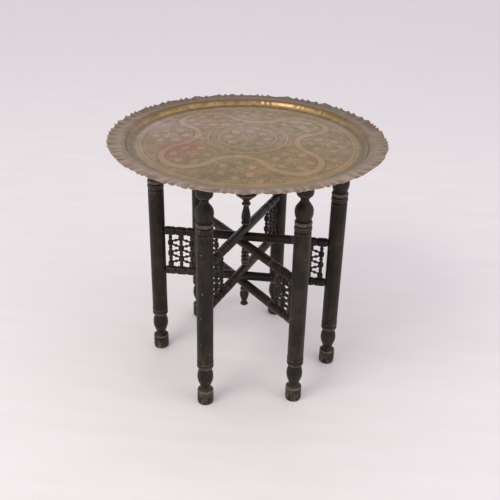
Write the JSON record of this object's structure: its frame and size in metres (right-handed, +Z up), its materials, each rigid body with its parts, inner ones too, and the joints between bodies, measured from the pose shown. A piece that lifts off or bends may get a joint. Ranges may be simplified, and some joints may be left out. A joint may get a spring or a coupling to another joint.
{
  "type": "brass tray table",
  "caption": "Folding tray table: turned wooden frames crossing on a pivot rod, with beaded lattice panels, under a loose engraved brass tray with a scalloped rim.",
  "frame": {"origin": "on the floor, below the pivot rod's axis, at the middle of the tray's outline", "axes": "+Z up, +X from the pivot rod towards leg_a1"},
  "size_m": [0.585, 0.585, 0.5549],
  "materials": {
    "tray_brass": "engraved brass, tarnished to a brownish grey, brighter on the inner wall",
    "leg_wood": "turned hardwood under an almost black semi-gloss stain, worn brown on the rings and feet",
    "rail_wood": "turned hardwood under an almost black gloss stain",
    "lattice_wood": "small turned beads under a dark brown stain",
    "spindle_wood": "turned hardwood under an almost black semi-gloss stain",
    "rod_iron": "plain dull iron rod"
  },
  "bodies": {
    "frame_a": {"rail_a_upper": "rail_wood", "rail_a_lower": "rail_wood", "leg_a1": "leg_wood", "panel_a1_core": "lattice_wood", "panel_a1_inner": "lattice_wood", "panel_a1_outer": "lattice_wood", "leg_a2": "leg_wood", "panel_a2_core": "lattice_wood", "panel_a2_inner": "lattice_wood", "panel_a2_outer": "lattice_wood", "pivot_rod": "rod_iron", "finial_top": "spindle_wood", "spool": "spindle_wood", "finial_drop": "spindle_wood"},
    "frame_b": {"rail_b_upper": "rail_wood", "rail_b_lower": "rail_wood", "leg_b1": "leg_wood", "panel_b1_core": "lattice_wood", "panel_b1_inner": "lattice_wood", "panel_b1_outer": "lattice_wood", "leg_b2": "leg_wood", "panel_b2_core": "lattice_wood", "panel_b2_inner": "lattice_wood", "panel_b2_outer": "lattice_wood"},
    "frame_c": {"rail_c_upper": "rail_wood", "rail_c_lower": "rail_wood", "leg_c1": "leg_wood", "panel_c1_core": "lattice_wood", "panel_c1_inner": "lattice_wood", "panel_c1_outer": "lattice_wood", "leg_c2": "leg_wood", "panel_c2_core": "lattice_wood", "panel_c2_inner": "lattice_wood", "panel_c2_outer": "lattice_wood"},
    "tray": {"tray": "tray_brass"}
  },
  "joints": [
    {"name": "frame_b_fold", "type": "hinge", "parent": "frame_a", "child": "frame_b", "pos_m": [0, 0, 0.284], "axis": [0, 0, 1], "range_deg": [-61, 23]},
    {"name": "frame_c_fold", "type": "hinge", "parent": "frame_a", "child": "frame_c", "pos_m": [0, 0, 0.247], "axis": [0, 0, 1], "range_deg": [-23, 36.5]},
    {"name": "tray_lift", "type": "slide", "parent": "frame_a", "child": "tray", "axis": [0, 0, 1], "range_m": [0, 0.3]}
  ]
}
